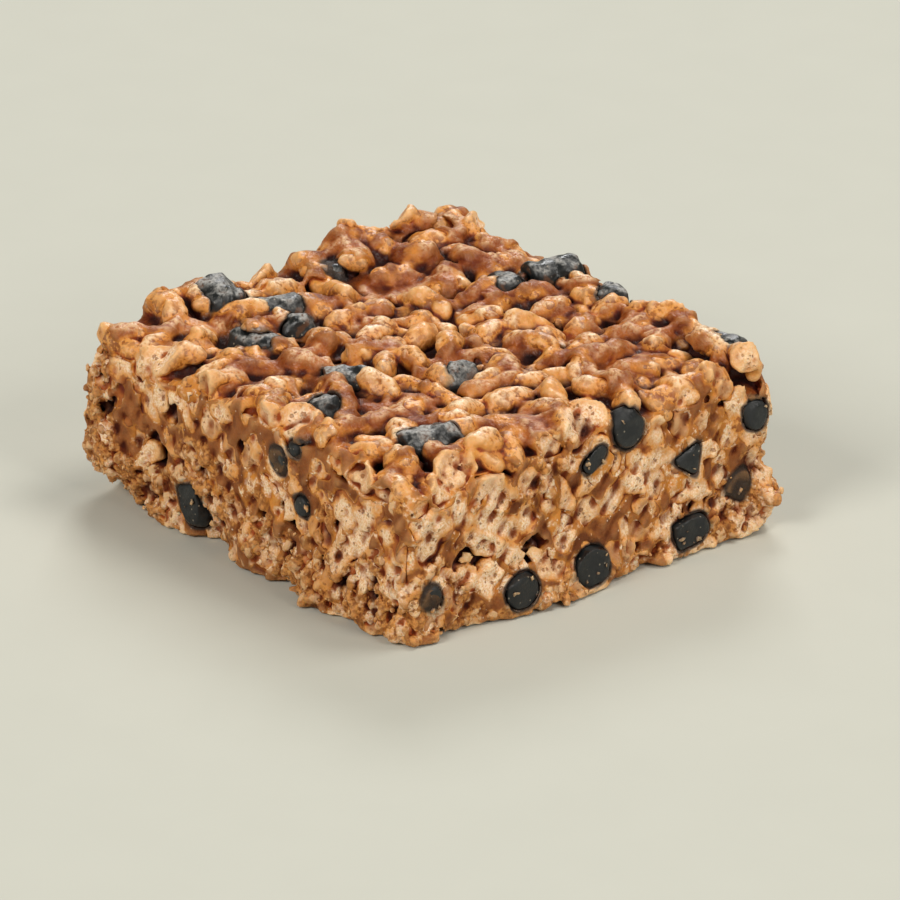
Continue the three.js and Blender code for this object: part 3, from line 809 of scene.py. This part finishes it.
foamLook = {
    "cream": "#F8DEC0", "tan": "#E0AE78", "grey": "#D3B59A", "poreShade": "#8A4F22",
    "poreSize": 0.7, "holeSize": 1.6,  # mm from one to the next
}


def foamColour(node, facts):
    # the inside of puffed rice: cream foam, mottled, with open pores. It gives the colour, with painted shade
    # in the pores, and the pores
    look = foamLook
    mottled = node("range", (facts["tiny"], 0.38, 0.6))
    foam = node("mix", (mottled, look["tan"], look["cream"]))
    greyed = node("range", (facts["broad"], 0.5, 0.7, 0, 0.45))
    foam = node("mix", (greyed, foam, look["grey"]))
    toasted = node("multiply", (facts["tone"], 0.75))
    foam = node("mix", (toasted, foam, look["tan"]))
    masks = []
    for size, rare, reach in ((look["poreSize"], 0.4, 0.5), (look["holeSize"], 0.75, 0.4)):
        cells = node("cells", (perMetre(size), facts["place"]))
        chance = node("ShaderNodeSeparateColor", {0: cells.node.outputs["Color"]})
        width = node("range", (chance, rare, 1.0, -0.1, reach))
        wavy = node("multiplyAdd", (facts["tiny"], 0.5, cells))
        gap = node("subtract", (width, wavy))
        masks.append(node("range", (gap, -0.29, -0.16)))
    # painted shade in the pores
    pores = node("maximum", (masks[0], masks[1]))
    shaded = node("multiply", (pores, 0.7))
    return node("mix", (shaded, foam, look["poreShade"])), pores


def paintedLightAndRodTint(node, facts, colour, look):
    # darker in patches within smokeReach of a black rod, and darkest right round a rod, where the rod shows
    # through a thin film and a painted shade rim is added; a powdery bloom with a painted sheen on proud,
    # up-facing tops; a painted highlight on what is proud and painted shade in the hollows
    near = node("range", (facts["rodGap"], look["smokeReach"], 0.15))
    near = node("multiply", (near, facts["middling"]))
    near = node("range", (near, 0.2, 0.5, 0, 0.75))
    colour = node("mix", (near, colour, look["smoke"]))
    # the rod seen through a thin film over it, and a painted shade rim right round each rod
    over = node("range", (facts["rodGap"], 0.6, 0.32, 0, 0.94))
    colour = node("mix", (over, colour, look["smoke"]))
    # a powdery bloom with a painted sheen, paler in patches on proud, up-facing parts of the top
    bloomAndSheen = node("range", (facts["hollow"], 0.53, 0.4))
    for share in (facts["facing"], facts["onTop"]):
        bloomAndSheen = node("multiply", (bloomAndSheen, share))
    for key, low, high in (("broad", 0.45, 0.56), ("small", 0.36, 0.56)):
        share = node("range", (facts[key], low, high))
        bloomAndSheen = node("multiply", (bloomAndSheen, share))
    colour = node("mix", (bloomAndSheen, colour, look["bloomAndSheen"]))
    # a painted highlight on what is proud, painted shade in the hollows and a deeper painted shadow in the
    # deep hollows
    for key, low, high, most, tint, kind in (
        ("hollow", 0.47, 0.26, 0.5, "edge", "mix"), ("hollow", 0.53, 0.63, 0.95, "shade", "darken"),
        ("deep", 0.53, 0.67, 0.95, "shadow", "darken"),
    ):
        share = node("range", (facts[key], low, high, 0, most))
        colour = node(kind, (share, colour, look[tint]))
    return colour


def sunkenRoughness(node, facts, gloss):
    # duller where it lies deep or was cut, so that no sky shines out of the crevices
    for key, low, high, most in (("hollow", 0.48, 0.6, 0.35), ("cut", 0.0, 1.0, 0.15)):
        share = node("range", (facts[key], low, high, 0, most))
        gloss = node("add", (gloss, share))
    return gloss


# the pale edge colour is a painted highlight on what is proud, and shade and shadow are painted shade in the
# hollows
toffeeLook = {
    "dark": "#6C3816", "light": "#9C5D2D", "clearDark": "#6C2A04", "clearLight": "#AC5F20", "thin": "#CF8636",
    "crumb": "#7E4518", "paleCrumb": "#CF8F4B", "creamCrumb": "#E8C193", "fleck": "#EFDCC2", "fleckSize": 1.5,
    "smoke": "#30261F", "smokeReach": 1.6, "bloomAndSheen": "#DCB68E", "shade": "#A8622E", "shadow": "#542A10",
    "edge": "#C4905A",
}


def dateToffee():
    # Date and sugar toffee, boiled, stirred through and sliced: milky brown where it is thick, amber where
    # only a film of it lies on a grain, with a soft gloss where it set against air
    look = toffeeLook
    material, tree = newMaterial("date_toffee_boiled_and_sliced")
    node = partial(addNode, tree)
    facts = surfaceFacts(node)
    tint = node("add", (facts["broad"], facts["middling"]))
    tint = node("range", (tint, 0.75, 1.25))
    milky = node("mix", (tint, look["dark"], look["light"]))
    clear = node("mix", (tint, look["clearDark"], look["clearLight"]))
    body = node("mix", (facts["cut"], clear, milky))
    thin = node("multiplyAdd", (facts["middling"], 0.4, facts["inside"]))
    thin = node("multiplyAdd", (facts["cut"], -0.16, thin))
    thin = node("range", (thin, -0.2, 0.24))
    grit = node("attribute", ("grit",))
    grit = node("range", (grit, 0.3, 0.1))
    crumb = node("range", (facts["small"], 0.36, 0.62))
    crumb = node("mix", (crumb, look["crumb"], look["paleCrumb"]))
    cream = node("range", (facts["middling"], 0.54, 0.6, 0, 0.8))
    crumb = node("mix", (cream, crumb, look["creamCrumb"]))
    foam, pores = foamColour(node, facts)
    bare = node("range", (facts["ragged"], 0.02, 0.22))
    bare = node("multiply", (bare, facts["cut"]))
    patchy = node("range", (facts["middling"], 0.45, 0.6))
    bare = node("multiply", (bare, patchy))
    flecks = node("cells", (perMetre(look["fleckSize"]), facts["place"]))
    flecks = node("range", (flecks, 0.12, 0.07, 0, 0.7))
    flecks = node("multiply", (flecks, facts["cut"]))
    colour = body
    for share, over in ((thin, look["thin"]), (grit, crumb), (bare, foam), (flecks, look["fleck"])):
        colour = node("mix", (share, colour, over))
    colour = paintedLightAndRodTint(node, facts, colour, look)
    gloss = node("range", (facts["small"], 0, 1, 0.34, 0.6))
    roughness = sunkenRoughness(node, facts, gloss)
    wet = node("range", (facts["middling"], 0.46, 0.58))
    wet = node("multiply", (wet, facts["onTop"]))
    wet = node("range", (wet, 0, 1, 0.04, 0.35))
    height = node("multiplyAdd", (facts["small"], 0.9, facts["middling"]))
    height = node("multiplyAdd", (facts["tiny"], 0.4, height))
    bump = node("ShaderNodeBump", {"Strength": 0.8, "Distance": 0.3 * mm, "Height": height})
    shader = node("ShaderNodeBsdfPrincipled", {
        "Subsurface Weight": 0.25, "Subsurface Radius": (1.0, 0.42, 0.18), "Subsurface Scale": 0.6 * mm,
        "IOR": 1.47, "Specular IOR Level": 0.22, "Base Color": colour, "Roughness": roughness, "Normal": bump,
        "Coat Weight": wet, "Coat Roughness": 0.17, "Coat Normal": bump,
    })
    node("ShaderNodeOutputMaterial", {"Surface": shader}, None)
    return material


# the pale edge colour is a painted highlight on what is proud, and shade and shadow are painted shade in the
# hollows
riceLook = {
    "skinDark": "#A05210", "skinLight": "#D69546", "coat": "#A0581E", "toffeeSoakAndShade": "#7E4010", "ring": "#D89244",
    "smear": "#A6652F", "smoke": "#55443A", "smokeReach": 0.9, "bloomAndSheen": "#E8CBA6", "shade": "#B87036",
    "shadow": "#542A10", "edge": "#F1CE9C",
}


def puffedRice():
    # Puffed rice glazed with toffee: amber, softly glossy skin, and cream foam full of pores where it is cut
    look = riceLook
    material, tree = newMaterial("puffed_rice_glazed_and_cut")
    node = partial(addNode, tree)
    facts = surfaceFacts(node)
    mottle = node("multiplyAdd", (facts["middling"], 1.0, facts["tone"]))
    shade = node("range", (mottle, 0.35, 1.4))
    skin = node("mix", (shade, look["skinDark"], look["skinLight"]))
    coated = node("multiplyAdd", (facts["middling"], 0.6, facts["broad"]))
    coated = node("range", (coated, 0.82, 0.92, 0, 0.75))
    skin = node("mix", (coated, skin, look["coat"]))
    # darker where the grain meets the toffee: toffee soaked into its base, and painted shade there
    toffeeAndShadeAtBase = node("multiplyAdd", (facts["middling"], 0.5, facts["exposed"]))
    toffeeAndShadeAtBase = node("range", (toffeeAndShadeAtBase, 0.95, 0.2, 0, 0.9))
    skin = node("mix", (toffeeAndShadeAtBase, skin, look["toffeeSoakAndShade"]))
    foam, pores = foamColour(node, facts)
    smeared = node("add", (facts["middling"], facts["tone"]))
    smeared = node("range", (smeared, 1.1, 1.3, 0, 0.75))
    foam = node("mix", (smeared, foam, look["smear"]))
    ring = node("range", (facts["ragged"], -0.1, 0.06))
    bare = node("range", (facts["ragged"], 0.1, 0.85))
    colour = node("mix", (ring, skin, look["ring"]))
    colour = node("mix", (bare, colour, foam))
    colour = paintedLightAndRodTint(node, facts, colour, look)
    gloss = node("range", (bare, 0, 1, 0.38, 0.7))
    roughness = sunkenRoughness(node, facts, gloss)
    height = node("multiplyAdd", (facts["small"], 0.6, facts["middling"]))
    pitted = node("multiply", (pores, bare))
    height = node("multiplyAdd", (pitted, -1.2, height))
    bump = node("ShaderNodeBump", {"Strength": 0.8, "Distance": 0.28 * mm, "Height": height})
    shader = node("ShaderNodeBsdfPrincipled", {
        "Subsurface Weight": 0.2, "Subsurface Radius": (0.9, 0.5, 0.25), "Subsurface Scale": 0.6 * mm,
        "IOR": 1.46, "Specular IOR Level": 0.4, "Base Color": colour, "Roughness": roughness, "Normal": bump,
        "Coat Weight": 0.12, "Coat Roughness": 0.25, "Coat Normal": bump,
    })
    node("ShaderNodeOutputMaterial", {"Surface": shader}, None)
    return material


chewLook = {
    "body": "#0E1011", "worn": "#1D2021", "dustAndSheen": "#A3A29E", "speck": "#A79C8A", "film": "#5B3A22",
    "speckSize": 1.2,
}


def blackChew():
    # Black sugar chew, extruded in rods and cut: matt and close-grained, with a powdery bloom and a painted
    # sheen where the top faces up
    look = chewLook
    material, tree = newMaterial("black_chew_extruded_and_dusted")
    node = partial(addNode, tree)
    place = node("ShaderNodeTexCoord", {}, "Object")
    onTop = node("attribute", ("onTop",))
    middling = node("noise", (perMetre(2.4), 4.0, place))
    small = node("noise", (perMetre(0.5), 4.0, place))
    colour = node("mix", (middling, look["body"], look["worn"]))
    specks = node("cells", (perMetre(look["speckSize"]), place))
    specks = node("range", (specks, 0.15, 0.08, 0, 0.6))
    colour = node("mix", (specks, colour, look["speck"]))
    normal = node("ShaderNodeNewGeometry", {}, "Normal")
    facing = node("ShaderNodeSeparateXYZ", {0: normal}, "Z")
    film = node("range", (middling, 0.56, 0.62, 0, 0.8))
    film = node("multiply", (film, onTop))
    colour = node("mix", (film, colour, look["film"]))
    # a powdery bloom with a painted sheen, on up-facing parts of the rods in the top
    dustAndSheen = node("range", (facing, 0.4, 0.9))
    for value, low, high in ((middling, 0.44, 0.56), (small, 0.3, 0.6)):
        share = node("range", (value, low, high))
        dustAndSheen = node("multiply", (dustAndSheen, share))
    dustAndSheen = node("multiply", (dustAndSheen, onTop))
    colour = node("mix", (dustAndSheen, colour, look["dustAndSheen"]))
    roughness = node("range", (middling, 0.4, 0.6, 0.3, 0.7))
    height = node("multiplyAdd", (middling, 1.5, small))
    bump = node("ShaderNodeBump", {"Strength": 0.6, "Distance": 0.15 * mm, "Height": height})
    surface = {"IOR": 1.5, "Base Color": colour, "Roughness": roughness, "Normal": bump}
    shader = node("ShaderNodeBsdfPrincipled", surface)
    node("ShaderNodeOutputMaterial", {"Surface": shader}, None)
    return material


toffeeFinish, riceFinish, chewFinish = dateToffee(), puffedRice(), blackChew()

budgets = {  # triangles
    "date_toffee": 185000, "glazed_rice": 185000, "pressed_rice": 50000, "cut_rice_front": 105000,
    "cut_rice_right": 105000, "cut_rice_left": 75000, "cut_rice_back": 75000, "rod": 2300,
}
leastScrap = 60  # points of the smallest loose bit of rice that is kept

print("meshing the toffee")
mesh = pieceFromField("date_toffee", toffee, toffee.size)
points, values = finishValues(mesh)
values["inside"] = -sampleField(allRice, points)
values["grit"] = sampleField(gritDistance, points)
storeValues(mesh, values)
core = placePiece(mesh, toffeeFinish)
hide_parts("crispy_bar")
corePoints, coreValues = points, values

print("meshing the puffed rice")
ricePieces = {
    "glazed_rice": (glazedRice, topFirst, topOwner, topTone),
    "pressed_rice": (pressedRice, sideFirst, sideOwner, sideTone),
}
for face in ("front", "right", "left", "back"):
    others = [out for other, out in outs.items() if other != face]
    beside = np.maximum(np.maximum(others[0], others[1]), others[2]) - outs[face]
    ricePieces[f"cut_rice_{face}"] = (np.maximum(sideSlab, beside * 0.7), sideFirst, sideOwner, sideTone)
for name, (field, skin, owner, tones) in ricePieces.items():
    mesh = pieceFromField(name, field, leastScrap)
    points, values = finishValues(mesh)
    values["inside"] = -sampleField(skin, points)
    values["exposed"] = sampleField(toffee, points)
    paleHere = 0 if name == "glazed_rice" else sampleField(paleAmount, points)
    values["tone"] = tones[sampleNearest(owner, points)] * np.clip(1 - paleHere, 0, 1)
    storeValues(mesh, values)
    placePiece(mesh, riceFinish)

print("shaping the black rods")
rodForm = {  # mm, of a rod in the top and of one that the knife cut
    "step": 0.22, "margin": 0.8, "dents": (0.08, 0.03), "grain": (0.1, 0.04), "sharpFrom": 38,
}
for number, (name, (planes, low, high)) in enumerate(rods.items()):
    step, margin = rodForm["step"], rodForm["margin"]
    axes = [np.arange(a - margin, b + margin, step, dtype=np.float32) for a, b in zip(low, high)]
    x, y, z = axes[0][:, None, None], axes[1][None, :, None], axes[2][None, None, :]
    isTop = "_top_" in name
    shape = wholeRod(name, planes, x, y, z)
    dents = np.sin(0.9 * x + 0.7 * y + number) * np.sin(1.1 * z + 0.8 * x + 2 * number)
    dents = dents + 0.5 * np.sin(2.1 * y - 1.7 * z + x + number) * np.sin(1.9 * x + z)
    shape = shape + rodForm["dents"][not isTop] * dents
    spots = np.stack(np.broadcast_arrays(x, y, z), axis=-1).reshape(-1, 3)
    shape = shape + rodForm["grain"][not isTop] * sampleField(fine + gritty, spots).reshape(shape.shape)
    points, quads = fieldSurface(shape, step, [a[0] for a in axes])
    mesh = lightened(meshFrom(name.replace("black_rod", "black_chew"), points, quads), budgets["rod"])
    mesh.set_sharp_from_angle(angle=math.radians(rodForm["sharpFrom"]))
    storeValues(mesh, {"onTop": np.full(len(mesh.vertices), float(isTop))})
    piece = placePiece(mesh, chewFinish)
    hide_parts(name)

print("scattering crumbs")
crumbs = {"count": 500, "mostOnRod": 6, "size": (0.14, 0.6), "flat": (0.25, 0.8), "jagged": 0.5, "seed": 91}
random = np.random.default_rng(crumbs["seed"])
ball = bpy.data.meshes.new("ball")
build = bmesh.new()
bmesh.ops.create_icosphere(build, subdivisions=2, radius=1.0)
build.to_mesh(ball)
build.free()
ballPoints = np.array([v.co for v in ball.vertices])
ballFaces = np.array([p.vertices for p in ball.polygons])
bpy.data.meshes.remove(ball)
weight = coreValues["cut"] * (0.05 + coreValues["torn"] ** 2)
weight = weight * (corePoints[:, 2] > 0.6) * (coreValues["rodGap"] > 0.8)
chosen = random.choice(len(corePoints), crumbs["count"], replace=False, p=weight / weight.sum())
coreNormals = np.empty(len(corePoints) * 3, np.float32)
core.data.vertices.foreach_get("normal", coreNormals)
coreNormals = coreNormals.reshape(-1, 3)
seats = [(corePoints[index], coreNormals[index]) for index in chosen]
for name, (planes, low, high) in rods.items():
    for _ in range(0 if "_top_" in name else random.integers(1, crumbs["mostOnRod"])):
        outward = cutAt(name, planes)[1]
        spot = (low + high) / 2 + (high - low) * (random.random(3) - 0.5) * 0.7
        facing = [plane for plane in planes if plane[0] @ outward > 0.3]
        reach = min((offset - normal @ spot) / (normal @ outward) for normal, offset in facing)
        seats.append((spot + outward * reach, outward))
crumbPoints, crumbFaces, crumbTones = [], [], []
for seat, normal in seats:
    size = mix(crumbs["size"], random.random() ** 3)
    turn = turnMatrix(*(random.random(3) * 2 * math.pi))
    stretch = np.array([1.0, random.uniform(0.5, 1.0), random.uniform(*crumbs["flat"])]) * size
    lumps = 1 + random.uniform(-crumbs["jagged"], crumbs["jagged"], (len(ballPoints), 1))
    shape = (ballPoints * lumps * stretch) @ turn.T
    crumbFaces.append(ballFaces + len(ballPoints) * len(crumbPoints))
    crumbPoints.append(shape + seat + normal * size * 0.1)
    crumbTones.append(np.full(len(ballPoints), random.random()))
mesh = meshFrom("rice_crumbs", np.concatenate(crumbPoints), np.concatenate(crumbFaces))
points, values = finishValues(mesh)
values["tone"] = np.concatenate(crumbTones)
values["inside"] = -0.2 + 0.6 * (values["tone"] > 0.6)
values["exposed"] = np.ones(len(points))
storeValues(mesh, values)
placePiece(mesh, riceFinish)

print("setting the camera, the lights and the floor")
camera = {  # aimHeight is the height in metres of the point that the photo shows at aimPixels
    "azimuth": 50.5, "elevation": 23.4, "distance": 1.05, "lens": 280.8, "sensor": 36.0, "frame": 900,
    "aimHeight": 0.013, "aimPixels": (428.6, 426.4),
}


def directionAt(azimuth, elevation):
    a, e = math.radians(azimuth), math.radians(elevation)
    return Vector((math.sin(a) * math.cos(e), -math.cos(a) * math.cos(e), math.sin(e)))


def placeFacing(made, place, away):
    # a camera or lamp at a place, with its back to that direction
    made.location = place
    made.rotation_mode = "QUATERNION"
    made.rotation_quaternion = away.to_track_quat("Z", "Y")


turn = math.radians(camera["azimuth"])
back = directionAt(camera["azimuth"], camera["elevation"])
aside = Vector((math.cos(turn), math.sin(turn), 0))
upward = back.cross(aside)
aimed = Vector((0, 0, camera["aimHeight"]))
eye = aimed + back * camera["distance"]
perPixel = camera["distance"] * camera["sensor"] / camera["lens"] / camera["frame"]
aimX, aimY = camera["aimPixels"]
middle = camera["frame"] / 2
target = aimed + aside * (middle - aimX) * perPixel + upward * (aimY - middle) * perPixel
cameraData = bpy.data.cameras.new("camera")
cameraData.lens = camera["lens"]
cameraData.sensor_width = camera["sensor"]
cameraData.clip_start, cameraData.clip_end = 0.05, 30
bpy.context.scene.camera = newObject("camera", cameraData)
placeFacing(bpy.context.scene.camera, eye, eye - target)

lamps = {  # azimuth, elevation, distance, width, strength, colour
    "overhead": (150, 62, 2.5, 0.9, 22.5, "#FFFAF4"),
    "left_front": (5, 36, 2.5, 1.0, 37.0, "#FFFBF6"),
    "right_front": (98, 30, 2.5, 1.0, 24.0, "#FFFBF6"),
    "back_sheen": (228, 36, 2.5, 0.8, 28.0, "#FFFFFF"),
}
for name, (around, over, distance, width, strength, hexColour) in lamps.items():
    away = directionAt(around, over)
    data = bpy.data.lights.new(name, "AREA")
    data.size = width
    data.energy = strength
    data.color = asLinear(hexColour)[:3]
    placeFacing(newObject(name, data), away * distance, away)

room = {"colour": "#DAD8CC", "strength": 0.28}
world = bpy.data.worlds.new("studio")
bpy.context.scene.world = world
world.use_nodes = True
backdrop = world.node_tree.nodes["Background"]
backdrop.inputs["Color"].default_value = asLinear(room["colour"])
backdrop.inputs["Strength"].default_value = room["strength"]

paper = {"dark": "#BFC0B6", "pale": "#C2C3B9", "grain": 1.1}  # grain in mm
sweep = {  # metres, and the drop keeps the paper just under the bar
    "width": 8.0, "front": -4.0, "back": 5.0, "rise": 3.0, "bend": 1.5, "drop": 0.0002, "steps": 12,
}
profile = [(sweep["front"], 0.0)]
for index in range(sweep["steps"] + 1):
    angle = math.pi / 2 * index / sweep["steps"]
    far = sweep["back"] - sweep["bend"] + sweep["bend"] * math.sin(angle)
    profile.append((far, sweep["bend"] * (1 - math.cos(angle))))
profile.append((sweep["back"], sweep["rise"]))
points, polygons = [], []
for index, (far, high) in enumerate(profile):
    for across in (-sweep["width"] / 2, sweep["width"] / 2):
        points.append((
            across * math.cos(turn) - far * math.sin(turn), across * math.sin(turn) + far * math.cos(turn),
            high - sweep["drop"],
        ))
    if index:
        polygons.append((2 * index - 2, 2 * index - 1, 2 * index + 1, 2 * index))
mesh = bpy.data.meshes.new("paper_sweep")
mesh.from_pydata(points, [], polygons)
floor = newObject("paper_sweep", mesh)
paperFinish, paperTree = newMaterial("matt_backdrop_paper")
paperGrain = addNode(paperTree, "noise", (perMetre(paper["grain"]), 2.0))
paperColour = addNode(paperTree, "mix", (paperGrain, paper["dark"], paper["pale"]))
paperSurface = {"Roughness": 0.9, "Specular IOR Level": 0.1, "Base Color": paperColour}
paperShader = addNode(paperTree, "ShaderNodeBsdfPrincipled", paperSurface)
addNode(paperTree, "ShaderNodeOutputMaterial", {"Surface": paperShader}, None)
mesh.materials.append(paperFinish)
bpy.context.scene.view_settings.view_transform = "Standard"
